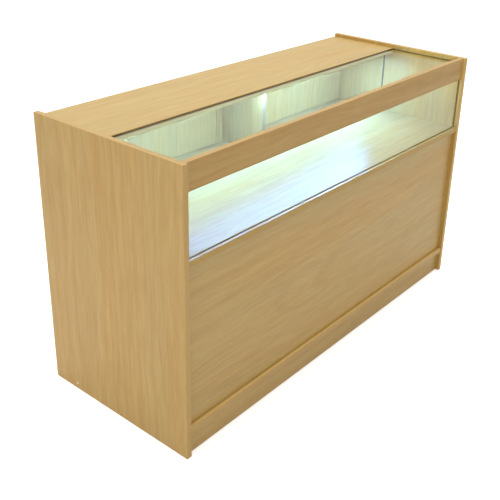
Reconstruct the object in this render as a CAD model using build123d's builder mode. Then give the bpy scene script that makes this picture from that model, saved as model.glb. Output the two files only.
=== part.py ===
from build123d import *
import os

os.makedirs("parts", exist_ok=True)

# Shop checkout counter with a glazed display over a storage space, millimetres.
# Origin at the centre of the footprint on the floor, +Z up, +X to the right seen
# from the shopper's side. The shopper's side (front) faces -Y, the staff side
# (rear) faces +Y. Depths (names in _Y) are counted rearwards from the front edges
# of the end panels and moved into the frame by to_y().

# ---------------------------------------------------------------- driving sizes
WIDTH = 1500.0
DEPTH = 595.0
HEIGHT = 900.0
BOARD = 18.0                    # board thickness
HALF = BOARD / 2
INNER_X = WIDTH / 2 - BOARD     # inner face of an end panel
EDGE = 0.7                      # eased board edge

GLASS = 6.0                     # pane thickness
GROOVE = 6.4                    # width of the grooves that hold the glass
GROOVE_DEEP = 8.0
GRIP = 7.5                      # reach of a pane into a groove

TOP_Z = 888.0                   # upper face of the service top
TOP_Y = 312.0                   # front edge of the service top
GLASS_Z = 879.0                 # underside of the top glass
FASCIA_Y = 8.0                  # front face of the fascia rail
FASCIA_Z = 820.0                # lower edge of the fascia rail
PANE_Y = 12.0                   # front face of the front glass
DECK_Y = 2.0                    # front edge of display deck and bottom shelf
DECK_Z = 630.0                  # upper face of the display deck
PANEL_Y = 15.0                  # front face of lower front panel and front plinth
SHELF_Z = 102.0                 # upper face of the bottom shelf
BACK_Y = 593.0                  # rear edge of deck and bottom shelf
TOE_Y = 480.0                   # front face of the rear plinth

TOP_UNDER = TOP_Z - BOARD
DECK_UNDER = DECK_Z - BOARD
SHELF_UNDER = SHELF_Z - BOARD
FASCIA_BACK = FASCIA_Y + BOARD
PANEL_BACK = PANEL_Y + BOARD

# Grooves as (start, end): height of the top glass groove, depth of the front one.
SLACK = (GROOVE - GLASS) / 2
TOP_GROOVE = (GLASS_Z - SLACK, GLASS_Z - SLACK + GROOVE)
FRONT_GROOVE = (PANE_Y - SLACK, PANE_Y - SLACK + GROOVE)

FLAP_Y = 549.0                  # inner face of the rear flaps and of the centre post
FLAP_BACK = FLAP_Y + BOARD      # their outer face
POST_WIDTH = 80.0
GAP = 2.0                       # gap round a flap
FLAP_X0 = POST_WIDTH / 2 + GAP
FLAP_X1 = INNER_X - GAP
FLAP_Z0 = DECK_Z + GAP
FLAP_Z1 = TOP_UNDER - GAP

AXIS_OFF = 3.0                  # hinge axis from the flap's face and from the deck
AXIS_Y = FLAP_BACK + AXIS_OFF
AXIS_Z = DECK_Z + AXIS_OFF
AXIS = (AXIS_Y, AXIS_Z)
KNUCKLE_R = 2.9                 # barrel of the piano hinge
KNUCKLE_BORE_R = 1.31
HINGE_PIN_R = 1.25
LEAF = 1.2                      # leaf thickness
HINGE_X0 = 66.0                 # the right hinge runs from here
HINGE_X1 = 704.0                # to here
KNUCKLES = 22
PITCH = (HINGE_X1 - HINGE_X0) / KNUCKLES

LOCK_X = (FLAP_X0 + FLAP_X1) / 2
LOCK_Z = 845.0
KNOB_Z = 790.0
LEFT_LOCK = (-LOCK_X, LOCK_Z)
LEFT_KNOB = (-LOCK_X, KNOB_Z)

LAMP_Y = 347.0                  # centre line of the light and of its cable's drop
LAMP_X = 655.0                  # half length of the light
CLIP_X = (-560.0, 0.0, 560.0)   # clips of the light
CABLE_X = 719.0                 # cable hole in the deck

DRIVER_X0, DRIVER_X1 = 520.0, 660.0
DRIVER_Y0, DRIVER_Y1 = 500.0, 545.0
DRIVER_Z0 = 583.0
TAB = 12.0                      # screw tabs standing out at the driver's ends
TAB_Y0, TAB_Y1 = DRIVER_Y0 + 12.0, DRIVER_Y1 - 13.0

SIDES = (-1, 1)
CUT = Mode.SUBTRACT
UP, DOWN, REARWARD = (0, 0, 1), (0, 0, -1), (0, 1, 0)

# ---------------------------------------------------------------- fixing layout
CAM_X = INNER_X - 34.0          # centre of a cam
BORE_R = 2.5                    # bores for bolt and screw threads and shelf pins
DOWEL_R = 4.0                   # dowel holes
FIT = 0.02                      # radial clearance of what sits in these bores
DOWEL_FACE = 11.5               # reach of a dowel into the face of a board
DOWEL_END = 18.0                # reach of a dowel into the end of a board

TOP_MID = TOP_Z - HALF
DECK_MID = DECK_Z - HALF
SHELF_MID = SHELF_Z - HALF
PANEL_MID = PANEL_Y + HALF
TOE_MID = TOE_Y + HALF

# board -> face the cams are bored from, spots of the cam bolts as (y, z)
CAMS = {
    "service_top": ("under", [(380.0, TOP_MID), (545.0, TOP_MID)]),
    "display_deck": ("under", [(80.0, DECK_MID), (290.0, DECK_MID), (520.0, DECK_MID)]),
    "bottom_shelf": ("under", [(80.0, SHELF_MID), (300.0, SHELF_MID), (520.0, SHELF_MID)]),
    "lower_front_panel": ("rear", [(PANEL_MID, 210.0), (PANEL_MID, 500.0)]),
    "fascia_rail": ("rear", [(FASCIA_Y + HALF, 850.0)]),
    "front_plinth": ("rear", [(PANEL_MID, SHELF_UNDER / 2)]),
}
# board -> spots of the end dowels as (y, z)
END_DOWELS = {
    "service_top": [(462.0, TOP_MID)],
    "display_deck": [(185.0, DECK_MID), (420.0, DECK_MID)],
    "bottom_shelf": [(190.0, SHELF_MID), (410.0, SHELF_MID)],
    "lower_front_panel": [(PANEL_MID, 355.0)],
    "rear_plinth": [(TOE_MID, 62.0)],
}
# joint -> height of the joint plane, reach down, reach up, spots as (x, y)
UP_DOWELS = {
    "partition_top": (DECK_UNDER, DOWEL_END, DOWEL_FACE, [(0.0, 90.0), (0.0, 230.0), (0.0, 340.0)]),
    "partition_foot": (SHELF_Z, DOWEL_FACE, DOWEL_END, [(0.0, 90.0), (0.0, 300.0), (0.0, 510.0)]),
    "divider_foot": (DECK_Z, DOWEL_FACE, DOWEL_END, [(0.0, 400.0), (0.0, 500.0)]),
    "divider_top": (TOP_UNDER, DOWEL_END, DOWEL_FACE, [(0.0, 400.0), (0.0, 500.0)]),
    "post_foot": (DECK_Z, DOWEL_FACE, DOWEL_END, [(-25.0, 558.0), (25.0, 558.0)]),
    "post_top": (TOP_UNDER, DOWEL_END, DOWEL_FACE, [(-25.0, 558.0), (25.0, 558.0)]),
}
ALL_CAMS = [spot for _, spots in CAMS.values() for spot in spots]
ALL_END_DOWELS = [spot for spots in END_DOWELS.values() for spot in spots]

PLINTH_SCREW = [(TOE_MID, 21.0)]          # (y, z), through each end panel
PLINTH_HEAD_R = 4.5
PLINTH_HEAD_DEEP = 5.5                    # underside of the head, from the outer face
PLINTH_HEAD_TOP = 2.2                     # top of the head, from the outer face

PIN_Y = (100.0, 520.0)                    # columns of shelf pin holes
PIN_Z = 342.5                             # row in use
PIN_HOLES = [(y, PIN_Z + 32.0 * k) for y in PIN_Y for k in range(-3, 4)]
PIN_HOLE_DEEP = 8.2

# Small countersunk screws, all one kind.
SCREW_R = 1.47
HEAD_R = 2.7
HEAD_HIGH = LEAF
SINK_R = 2.9
SCREW_LENGTH = 11.5                       # reach into the wood
PILOT_R = 1.5
PILOT_DEEP = 12.0
HINGE_SCREW_OFF = 14.0                    # hinge screws from the hinge axis
HINGE_SCREW_X = [HINGE_X0 + PITCH * (1.5 + 4 * k) for k in range(6)]
HINGE_SCREW_Y = AXIS_Y + HINGE_SCREW_OFF
HINGE_SCREW_Z = AXIS_Z + HINGE_SCREW_OFF
DECK_SCREWS = [(side * x, HINGE_SCREW_Y) for side in SIDES for x in HINGE_SCREW_X]
LEFT_FLAP_SCREWS = [(-x, HINGE_SCREW_Z) for x in HINGE_SCREW_X]
STRIKE_SCREWS = [(side * LOCK_X + dx, 530.0) for side in SIDES for dx in (-9.0, 9.0)]
CLIP_SCREWS = [(x, LAMP_Y) for x in CLIP_X]
DRIVER_SCREWS = [
    (x, (TAB_Y0 + TAB_Y1) / 2) for x in (DRIVER_X0 - TAB / 2, DRIVER_X1 + TAB / 2)
]


# ---------------------------------------------------------------- helpers
def to_y(depth):
    return depth - DEPTH / 2


def save(builder, name):
    builder.part.label = name
    export_step(builder.part, f"parts/{name}.step")


def save_pair(left, name):
    """Save a left piece and its mirror image on the right."""
    save(left, f"left_{name}")
    with BuildPart() as right:
        add(mirror(left.part, about=Plane.YZ))
    save(right, f"right_{name}")


# The shape helpers below add to or cut the BuildPart block that calls them.
def slab(x0, x1, y0, y1, z0, z1, mode=Mode.ADD):
    with BuildSketch(Plane.XY.offset(z0)) as face:
        with Locations(((x0 + x1) / 2, (to_y(y0) + to_y(y1)) / 2)):
            Rectangle(x1 - x0, y1 - y0)
    extrude(face.sketch, amount=z1 - z0, mode=mode)


def rod_x(x0, x1, spots, radius, mode=Mode.ADD):
    """Rods along X at spots (y, z)."""
    with BuildSketch(Plane.YZ.offset(min(x0, x1))) as face:
        with Locations(*[(to_y(y), z) for y, z in spots]):
            Circle(radius)
    extrude(face.sketch, amount=abs(x1 - x0), mode=mode)


def rod_y(y0, y1, spots, radius, mode=Mode.ADD):
    """Rods along Y at spots (x, z)."""
    with BuildSketch(Plane.XZ.offset(-to_y(max(y0, y1)))) as face:
        with Locations(*spots):
            Circle(radius)
    extrude(face.sketch, amount=abs(y1 - y0), mode=mode)


def rod_z(z0, z1, spots, radius, mode=Mode.ADD):
    """Rods along Z at spots (x, y)."""
    with BuildSketch(Plane.XY.offset(min(z0, z1))) as face:
        with Locations(*[(x, to_y(y)) for x, y in spots]):
            Circle(radius)
    extrude(face.sketch, amount=abs(z1 - z0), mode=mode)


def end_rods(start, end, spots, radius, mode=Mode.ADD):
    """Rods along X at both ends, measured inwards from the end panels' inner faces."""
    for side in SIDES:
        rod_x(side * (INNER_X - start), side * (INNER_X - end), spots, radius, mode)


def ease(edges):
    fillet(edges, radius=EDGE)


def cam_disc(face, x, y, z, length, radius, mode=Mode.ADD):
    """Disc sunk from the underside or rear face of a board whose mid-plane is at y, z."""
    if face == "under":
        rod_z(z - HALF, z - HALF + length, [(x, y)], radius, mode)
    else:
        rod_y(y + HALF, y + HALF - length, [(x, z)], radius, mode)


def cross_slot(face, x, y, z, half_long, half_wide, deep):
    """Cut a screwdriver cross into a surface that faces down or to the rear."""
    for a, b in ((half_long, half_wide), (half_wide, half_long)):
        if face == "under":
            slab(x - a, x + a, y - b, y + b, z, z + deep, CUT)
        else:
            slab(x - a, x + a, y - deep, y, z - b, z + b, CUT)


def bore_cams(board):
    """Cam bores and bolt bores at both ends of a board."""
    face, spots = CAMS[board]
    end_rods(0, INNER_X - CAM_X, spots, 4.0, CUT)
    for side in SIDES:
        for y, z in spots:
            cam_disc(face, side * CAM_X, y, z, 13.5, 7.5, CUT)


def bore_end_dowels(board):
    end_rods(0, DOWEL_END + 1.0, END_DOWELS[board], DOWEL_R, CUT)


def bore_up_dowels(side, *joints):
    """Upright dowel holes above or below joint planes."""
    for joint in joints:
        z, down, up, spots = UP_DOWELS[joint]
        reach = up + 0.5 if side == "above" else -down - 0.5
        rod_z(z, z + reach, spots, DOWEL_R, CUT)


def facing(points, normal):
    """Places at points (x, y, z) whose own Z axis lies along normal."""
    return Locations(
        *[Plane(origin=(x, to_y(y), z), x_dir=(1, 0, 0), z_dir=normal) for x, y, z in points]
    )


def countersink(points, normal, radius, plate):
    with facing(points, normal):
        CounterSinkHole(radius=radius, counter_sink_radius=SINK_R, depth=2 * plate)


def screw_heads(points, normal):
    """Conical heads centred on the points, wide end along normal."""
    with facing(points, normal):
        Cone(bottom_radius=SCREW_R, top_radius=HEAD_R, height=HEAD_HIGH)


# ================================================================ carcass boards
# End panel: full height and depth, grooved for both panes on its inner face and
# bored for cam bolts, dowels, shelf pins and one plinth screw.
with BuildPart() as left_end_panel:
    slab(-WIDTH / 2, -INNER_X, 0, DEPTH, 0, HEIGHT)
    ease(left_end_panel.edges())
    groove_x = (-INNER_X - GROOVE_DEEP, -INNER_X)
    slab(*groove_x, FASCIA_BACK - GROOVE_DEEP, TOP_Y + 10.0, *TOP_GROOVE, CUT)
    slab(*groove_x, *FRONT_GROOVE, DECK_Z - 8.0, FASCIA_Z + 9.0, CUT)
    rod_x(-INNER_X, -INNER_X - 11.5, ALL_CAMS, BORE_R, CUT)
    rod_x(-INNER_X, -INNER_X - DOWEL_FACE - 0.5, ALL_END_DOWELS, DOWEL_R, CUT)
    rod_x(-INNER_X, -INNER_X - PIN_HOLE_DEEP, PIN_HOLES, BORE_R, CUT)
    rod_x(-INNER_X, -WIDTH / 2, PLINTH_SCREW, 3.6, CUT)
    rod_x(-WIDTH / 2, -WIDTH / 2 + PLINTH_HEAD_DEEP, PLINTH_SCREW, 4.6, CUT)
save_pair(left_end_panel, "end_panel")

# Service top: over the rear half, its front edge grooved for the top glass.
with BuildPart() as service_top:
    slab(-INNER_X, INNER_X, TOP_Y, DEPTH, TOP_UNDER, TOP_Z)
    ease(service_top.edges().filter_by(Axis.X))
    slab(-INNER_X, INNER_X, TOP_Y, TOP_Y + GROOVE_DEEP + 0.5, *TOP_GROOVE, CUT)
    bore_cams("service_top")
    bore_end_dowels("service_top")
    bore_up_dowels("above", "divider_top", "post_top")
    rod_z(TOP_UNDER, TOP_UNDER + PILOT_DEEP, STRIKE_SCREWS + CLIP_SCREWS, PILOT_R, CUT)
save(service_top, "service_top")

# Fascia rail: over the front glass, flush with the tops of the end panels.
with BuildPart() as fascia_rail:
    slab(-INNER_X, INNER_X, FASCIA_Y, FASCIA_BACK, FASCIA_Z, HEIGHT)
    ease(fascia_rail.edges().filter_by(Axis.X))
    slab(-INNER_X, INNER_X, FASCIA_BACK - GROOVE_DEEP, FASCIA_BACK, *TOP_GROOVE, CUT)
    slab(-INNER_X, INNER_X, *FRONT_GROOVE, FASCIA_Z, FASCIA_Z + 9.0, CUT)
    bore_cams("fascia_rail")
save(fascia_rail, "fascia_rail")

# Display deck: floor of the glazed section, grooved for the front glass, with a
# hole near its right end for the light's cable.
with BuildPart() as display_deck:
    slab(-INNER_X, INNER_X, DECK_Y, BACK_Y, DECK_UNDER, DECK_Z)
    ease(display_deck.edges().filter_by(Axis.X))
    slab(-INNER_X, INNER_X, *FRONT_GROOVE, DECK_Z - 7.5, DECK_Z, CUT)
    rod_z(DECK_UNDER, DECK_Z, [(CABLE_X, LAMP_Y)], 7.0, CUT)
    bore_cams("display_deck")
    bore_end_dowels("display_deck")
    bore_up_dowels("above", "partition_top")
    bore_up_dowels("below", "divider_foot", "post_foot")
    rod_z(DECK_Z - PILOT_DEEP, DECK_Z, DECK_SCREWS, PILOT_R, CUT)
    rod_z(DECK_UNDER, DECK_UNDER + PILOT_DEEP, DRIVER_SCREWS, PILOT_R, CUT)
save(display_deck, "display_deck")

# Lower front panel between deck and bottom shelf.
with BuildPart() as lower_front_panel:
    slab(-INNER_X, INNER_X, PANEL_Y, PANEL_BACK, SHELF_Z, DECK_UNDER)
    bore_cams("lower_front_panel")
    bore_end_dowels("lower_front_panel")
save(lower_front_panel, "lower_front_panel")

# Bottom shelf: its front edge stands out below the lower panel as a narrow ledge.
with BuildPart() as bottom_shelf:
    slab(-INNER_X, INNER_X, DECK_Y, BACK_Y, SHELF_UNDER, SHELF_Z)
    ease(bottom_shelf.edges().filter_by(Axis.X))
    bore_cams("bottom_shelf")
    bore_end_dowels("bottom_shelf")
    bore_up_dowels("below", "partition_foot")
save(bottom_shelf, "bottom_shelf")

with BuildPart() as front_plinth:
    slab(-INNER_X, INNER_X, PANEL_Y, PANEL_BACK, 0, SHELF_UNDER)
    bore_cams("front_plinth")
save(front_plinth, "front_plinth")

# Rear plinth, set in from the staff side to leave toe space.
with BuildPart() as rear_plinth:
    slab(-INNER_X, INNER_X, TOE_Y, TOE_Y + BOARD, 0, SHELF_UNDER)
    bore_end_dowels("rear_plinth")
    end_rods(0, 34.0, PLINTH_SCREW, BORE_R, CUT)
save(rear_plinth, "rear_plinth")

# Storage partition under the deck, bored on both faces for shelf pins.
with BuildPart() as storage_partition:
    slab(-HALF, HALF, PANEL_BACK, 575.0, SHELF_Z, DECK_UNDER)
    ease(storage_partition.edges().filter_by(Axis.Z).group_by(Axis.Y)[-1])
    bore_up_dowels("below", "partition_top")
    bore_up_dowels("above", "partition_foot")
    for side in SIDES:
        rod_x(side * HALF, side * (HALF - PIN_HOLE_DEEP), PIN_HOLES, BORE_R, CUT)
save(storage_partition, "storage_partition")

# Display divider: carries the middle of the service top, behind the light.
with BuildPart() as display_divider:
    slab(-HALF, HALF, 366.0, FLAP_Y, DECK_Z, TOP_UNDER)
    ease(display_divider.edges().filter_by(Axis.Z).group_by(Axis.Y)[0])
    bore_up_dowels("above", "divider_foot")
    bore_up_dowels("below", "divider_top")
save(display_divider, "display_divider")

# Centre post between the two rear flaps.
with BuildPart() as centre_post:
    slab(-POST_WIDTH / 2, POST_WIDTH / 2, FLAP_Y, FLAP_BACK, DECK_Z, TOP_UNDER)
    ease(centre_post.edges().filter_by(Axis.Z))
    bore_up_dowels("above", "post_foot")
    bore_up_dowels("below", "post_top")
save(centre_post, "centre_post")

# Adjustable shelves, one in each storage bay, resting on four pins.
STORAGE_SHELF_Z = 345.0
with BuildPart() as left_storage_shelf:
    slab(-INNER_X + 1.0, -HALF - 1.0, 60.0, 560.0, STORAGE_SHELF_Z, STORAGE_SHELF_Z + BOARD)
    ease(left_storage_shelf.edges().filter_by(Axis.X))
save_pair(left_storage_shelf, "storage_shelf")

# ================================================================ glass
PANE_X = INNER_X + GRIP
ARRIS = 0.4                     # chamfer of the glass edges

# Top pane: held on all four sides in grooves.
with BuildPart() as top_glass:
    slab(-PANE_X, PANE_X, FASCIA_BACK - GRIP, TOP_Y + 8.0, GLASS_Z, GLASS_Z + GLASS)
    chamfer(top_glass.edges(), length=ARRIS)
save(top_glass, "top_glass")

with BuildPart() as front_glass:
    slab(-PANE_X, PANE_X, PANE_Y, PANE_Y + GLASS, DECK_Z - 7.0, FASCIA_Z + 8.0)
    chamfer(front_glass.edges(), length=ARRIS)
save(front_glass, "front_glass")

# ================================================================ fixings
# Cam bolts: thread in the end panel, shank and neck in the board, head in the cam.
with BuildPart() as cam_bolts:
    end_rods(-11.0, 0, ALL_CAMS, BORE_R - FIT)
    end_rods(0, 26.0, ALL_CAMS, 3.5)
    end_rods(26.0, 32.0, ALL_CAMS, 1.8)
    end_rods(32.0, 35.5, ALL_CAMS, 2.9)
save(cam_bolts, "cam_bolts")

# Cam locks: discs turned with a screwdriver to pull the bolts in.
with BuildPart() as cam_locks:
    for face, spots in CAMS.values():
        for side in SIDES:
            x = side * CAM_X
            for y, z in spots:
                cam_disc(face, x, y, z, 13.2, 7.45)
                if face == "under":
                    cross_slot(face, x, y, z - HALF, half_long=4.0, half_wide=0.7, deep=1.8)
                else:
                    cross_slot(face, x, y + HALF, z, half_long=4.0, half_wide=0.7, deep=1.8)
    end_rods(25.0, 38.0, ALL_CAMS, 3.3, CUT)
save(cam_locks, "cam_locks")

# Dowels beside the cams and between the uprights and the boards.
with BuildPart() as wood_dowels:
    end_rods(-DOWEL_FACE, DOWEL_END, ALL_END_DOWELS, DOWEL_R - FIT)
    for z, down, up, spots in UP_DOWELS.values():
        rod_z(z - down, z + up, spots, DOWEL_R - FIT)
save(wood_dowels, "wood_dowels")

# One screw through each end panel into the rear plinth, with a hexagon socket.
with BuildPart() as plinth_screws:
    end_rods(PLINTH_HEAD_TOP - BOARD, PLINTH_HEAD_DEEP - BOARD, PLINTH_SCREW, PLINTH_HEAD_R)
    end_rods(PLINTH_HEAD_DEEP - BOARD, 0, PLINTH_SCREW, 3.4)
    end_rods(0, 32.0, PLINTH_SCREW, BORE_R - FIT)
    for side in SIDES:
        with BuildSketch(Plane.YZ.offset(side * (WIDTH / 2 - PLINTH_HEAD_TOP))):
            with Locations(*[(to_y(y), z) for y, z in PLINTH_SCREW]):
                RegularPolygon(radius=2.4, side_count=6)
        extrude(amount=-side * 2.2, mode=CUT)
save(plinth_screws, "plinth_screws")

# Caps over the plinth screws, flush with the outer faces.
with BuildPart() as cover_caps:
    end_rods(2.0 - BOARD, -BOARD, PLINTH_SCREW, PLINTH_HEAD_R)
save(cover_caps, "cover_caps")

# Shelf pins: pushed 8 mm into the holes, with a collar at the board's face.
with BuildPart() as shelf_pins:
    spots = [(y, PIN_Z) for y in PIN_Y]
    for side in SIDES:
        for face_x, way in ((side * INNER_X, -side), (side * HALF, side)):
            rod_x(face_x - way * 8.0, face_x, spots, BORE_R - FIT)
            rod_x(face_x, face_x + way * 8.5, spots, BORE_R - FIT)
            rod_x(face_x, face_x + way * 0.9, spots, 4.0)
save(shelf_pins, "shelf_pins")

# ================================================================ rear flaps
# Each flap closes one half of the glazed section. It stands on a piano hinge and
# drops back through a quarter turn onto the ledge of the deck behind it.
with BuildPart() as left_flap:
    slab(-FLAP_X1, -FLAP_X0, FLAP_Y, FLAP_BACK, FLAP_Z0, FLAP_Z1)
    ease(left_flap.edges())
    rod_y(FLAP_Y, FLAP_BACK, [LEFT_LOCK], 8.2, CUT)
    rod_y(FLAP_BACK - 14.0, FLAP_BACK, [LEFT_KNOB], 2.0, CUT)
    rod_y(FLAP_BACK - PILOT_DEEP, FLAP_BACK, LEFT_FLAP_SCREWS, PILOT_R, CUT)
save_pair(left_flap, "flap")

KNUCKLE_ROOM = 3.4              # notch in a leaf beside the other leaf's knuckle


def knuckles(first):
    """Spans of every other knuckle, counted from the left end of the left hinge."""
    starts = [-HINGE_X1 + PITCH * k for k in range(first, KNUCKLES, 2)]
    return [(x, x + PITCH) for x in starts]


def add_knuckles(first):
    """Knuckles of one left leaf, bored through for the hinge pin."""
    for x0, x1 in knuckles(first):
        rod_x(x0 + 0.3, x1 - 0.3, [AXIS], KNUCKLE_R)
    rod_x(-HINGE_X1, -HINGE_X0, [AXIS], KNUCKLE_BORE_R, CUT)


# Fixed leaves of the two hinges, flat on the ledge of the deck.
LEAF_TOP = DECK_Z + LEAF
with BuildPart() as left_fixed_leaf:
    slab(-HINGE_X1, -HINGE_X0, AXIS_Y, BACK_Y - 0.5, DECK_Z, LEAF_TOP)
    for x0, x1 in knuckles(1):
        slab(x0, x1, AXIS_Y, AXIS_Y + KNUCKLE_ROOM, DECK_Z, LEAF_TOP, CUT)
    add_knuckles(0)
    points = [(-x, HINGE_SCREW_Y, LEAF_TOP) for x in HINGE_SCREW_X]
    countersink(points, UP, radius=1.6, plate=LEAF)

with BuildPart() as hinge_fixed_leaves:
    add(left_fixed_leaf.part)
    add(mirror(left_fixed_leaf.part, about=Plane.YZ))
save(hinge_fixed_leaves, "hinge_fixed_leaves")

# Moving leaves, screwed to the outer faces of the flaps.
LEAF_BACK = FLAP_BACK + LEAF
with BuildPart() as left_hinge_leaf:
    slab(-HINGE_X1, -HINGE_X0, FLAP_BACK, LEAF_BACK, AXIS_Z, AXIS_Z + 23.0)
    for x0, x1 in knuckles(0):
        slab(x0, x1, FLAP_BACK, LEAF_BACK, AXIS_Z, AXIS_Z + KNUCKLE_ROOM, CUT)
    add_knuckles(1)
    points = [(x, LEAF_BACK, z) for x, z in LEFT_FLAP_SCREWS]
    countersink(points, REARWARD, radius=1.6, plate=LEAF)
save_pair(left_hinge_leaf, "hinge_leaf")

with BuildPart() as hinge_pins:
    for side in SIDES:
        rod_x(side * HINGE_X0, side * HINGE_X1, [AXIS], HINGE_PIN_R)
save(hinge_pins, "hinge_pins")

# Screws of the moving leaves, driven into the flaps.
with BuildPart() as left_flap_screws:
    rod_y(FLAP_BACK - SCREW_LENGTH, FLAP_BACK, LEFT_FLAP_SCREWS, SCREW_R)
    screw_heads([(x, FLAP_BACK + HEAD_HIGH / 2, z) for x, z in LEFT_FLAP_SCREWS], REARWARD)
    for x, z in LEFT_FLAP_SCREWS:
        cross_slot("rear", x, LEAF_BACK, z, half_long=1.5, half_wide=0.3, deep=0.5)
save_pair(left_flap_screws, "flap_screws")

# Bumpers on the ledge at both ends of each hinge; an open flap rests on them.
BUMPER_X = (56.0, 716.0)
BUMPER_Y = 582.0
with BuildPart() as flap_bumpers:
    # half profile as (radius, height)
    with BuildSketch(Plane.XZ) as bumper_half:
        with BuildLine():
            Polyline((0, 5.8), (0, 0), (5.0, 0), (5.0, 2.0))
            Spline((5.0, 2.0), (3.9, 4.7), (2.0, 5.6), (0, 5.8))
        make_face()
    bumper = revolve(bumper_half.sketch, axis=Axis.Z, mode=Mode.PRIVATE)
    with Locations(*[(side * x, to_y(BUMPER_Y), DECK_Z) for side in SIDES for x in BUMPER_X]):
        add(bumper)
save(flap_bumpers, "flap_bumpers")

# ---------------------------------------------------------------- locks
# Cam lock in each flap: barrel, nut, turning plug with its cam and key. At rest the
# cam lies level and the flap is free; turned up, it stands on the display side of
# the strike plate.
BARREL_Y = 541.3                # inner end of the barrel
LOCK_CAM_Y = 541.1              # rear face of the cam
PLUG_R = 6.0

with BuildPart() as left_lock_barrel:
    rod_y(BARREL_Y, FLAP_BACK, [LEFT_LOCK], 8.0)
    rod_y(FLAP_BACK, FLAP_BACK + 2.0, [LEFT_LOCK], 10.5)
    chamfer(left_lock_barrel.edges().group_by(Axis.Y)[-1], length=0.6)
    rod_y(BARREL_Y, FLAP_BACK + 2.0, [LEFT_LOCK], PLUG_R + 0.06, CUT)
save_pair(left_lock_barrel, "lock_barrel")

# Nut on the inner face of the flap.
NUT = 3.2
with BuildPart() as left_lock_nut:
    with BuildSketch(Plane.XZ.offset(-to_y(FLAP_Y))) as nut_face:
        with Locations(LEFT_LOCK):
            RegularPolygon(radius=12.0, side_count=6)
    extrude(nut_face.sketch, amount=NUT)
    chamfer(left_lock_nut.edges().group_by(Axis.Y)[0], length=0.4)
    rod_y(FLAP_Y - NUT, FLAP_Y, [LEFT_LOCK], 8.04, CUT)
save_pair(left_lock_nut, "lock_nut")

# Plug: round body and rim, square and disc for the cam, upright keyway.
RIM_Y = FLAP_BACK + 2.05
SQUARE_Y = 538.9
with BuildPart() as left_lock_plug:
    rod_y(BARREL_Y, RIM_Y, [LEFT_LOCK], PLUG_R)
    rod_y(RIM_Y, FLAP_BACK + 2.8, [LEFT_LOCK], 7.0)
    chamfer(left_lock_plug.edges().group_by(Axis.Y)[-1], length=0.3)
    slab(-LOCK_X - 2.5, -LOCK_X + 2.5, SQUARE_Y, BARREL_Y, LOCK_Z - 2.5, LOCK_Z + 2.5)
    rod_y(538.0, SQUARE_Y, [LEFT_LOCK], 3.7)
    slab(-LOCK_X - 1.15, -LOCK_X + 1.15, 551.0, FLAP_BACK + 3.0, LOCK_Z - 4.2, LOCK_Z + 4.2, CUT)
save_pair(left_lock_plug, "lock_plug")

# Cam: flat arm with a square hole and a round tip.
CAM_REACH = 16.0
with BuildPart() as left_lock_cam:
    with BuildSketch(Plane.XZ.offset(-to_y(LOCK_CAM_Y))) as cam_face:
        with Locations(LEFT_LOCK):
            Circle(8.2)
        with Locations((-LOCK_X + CAM_REACH / 2, LOCK_Z)):
            Rectangle(CAM_REACH, 12.0)
        with Locations((-LOCK_X + CAM_REACH, LOCK_Z)):
            Circle(6.0)
        with Locations(LEFT_LOCK):
            Rectangle(5.1, 5.1, mode=CUT)
    extrude(cam_face.sketch, amount=2.0)
save_pair(left_lock_cam, "lock_cam")

# Key: round bow with a hole, short neck, and a blade with five notches.
KEY = 2.0                       # thickness
KEY_X0, KEY_X1 = -LOCK_X - KEY / 2, -LOCK_X + KEY / 2
BLADE_TOP = LOCK_Z + 3.2
with BuildPart() as left_key:
    with BuildSketch(Plane.YZ.offset(KEY_X0)) as key_face:
        with Locations((to_y(581.0), LOCK_Z)):
            Circle(10.5)
        with Locations((to_y(571.6), LOCK_Z)):
            Rectangle(3.0, 8.0)
        with Locations((to_y(584.5), LOCK_Z)):
            Circle(2.6, mode=CUT)
    extrude(key_face.sketch, amount=KEY)
    chamfer(left_key.edges().filter_by(GeomType.CIRCLE), length=0.35)
    slab(KEY_X0, KEY_X1, 552.0, 573.0, LOCK_Z - 4.0, BLADE_TOP)
    for k in range(5):
        y = 554.5 + 3.0 * k
        notch_z = LOCK_Z + 2.2 - 0.5 * (k % 2)
        slab(KEY_X0, KEY_X1, y - 0.8, y + 0.8, notch_z, BLADE_TOP, CUT)
save_pair(left_key, "key")

# Angled strike plates under the service top, one at each lock.
STRIKE = 2.0                    # thickness
STRIKE_Z = TOP_UNDER - STRIKE
STRIKE_BACK = 547.4
with BuildPart() as strike_plates:
    for side in SIDES:
        x0, x1 = side * LOCK_X - 15.0, side * LOCK_X + 15.0
        slab(x0, x1, 520.0, STRIKE_BACK, STRIKE_Z, TOP_UNDER)
        slab(x0, x1, STRIKE_BACK - STRIKE, STRIKE_BACK, TOP_UNDER - 11.0, STRIKE_Z)
    fillet(
        strike_plates.edges().filter_by(Axis.X).group_by(Axis.Z)[-1].group_by(Axis.Y)[-1],
        radius=1.2,
    )
    points = [(x, y, STRIKE_Z) for x, y in STRIKE_SCREWS]
    countersink(points, DOWN, radius=1.7, plate=STRIKE)
save(strike_plates, "strike_plates")

# Turned knobs with a stud, screwed into the outer faces of the flaps.
with BuildPart() as left_flap_knob:
    # half profile as (radius, distance from the flap)
    with BuildSketch(Plane.XY) as knob_half:
        with BuildLine():
            Polyline((0, 0), (8.5, 0), (8.5, 1.6))
            Spline((8.5, 1.6), (5.2, 6.5), (6.6, 12.0), (11.6, 15.0))
            Spline(
                (11.6, 15.0), (12.6, 17.4), (10.6, 20.2), (0, 21.4),
                tangents=((0.3, 1.0), (-1.0, 0)),
            )
            Line((0, 21.4), (0, 0))
        make_face()
    knob = revolve(knob_half.sketch, axis=Axis.Y, mode=Mode.PRIVATE)
    with Locations((-LOCK_X, to_y(FLAP_BACK), KNOB_Z)):
        add(knob)
    rod_y(FLAP_BACK - 13.0, FLAP_BACK + 0.5, [LEFT_KNOB], 1.97)
save_pair(left_flap_knob, "flap_knob")

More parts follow.
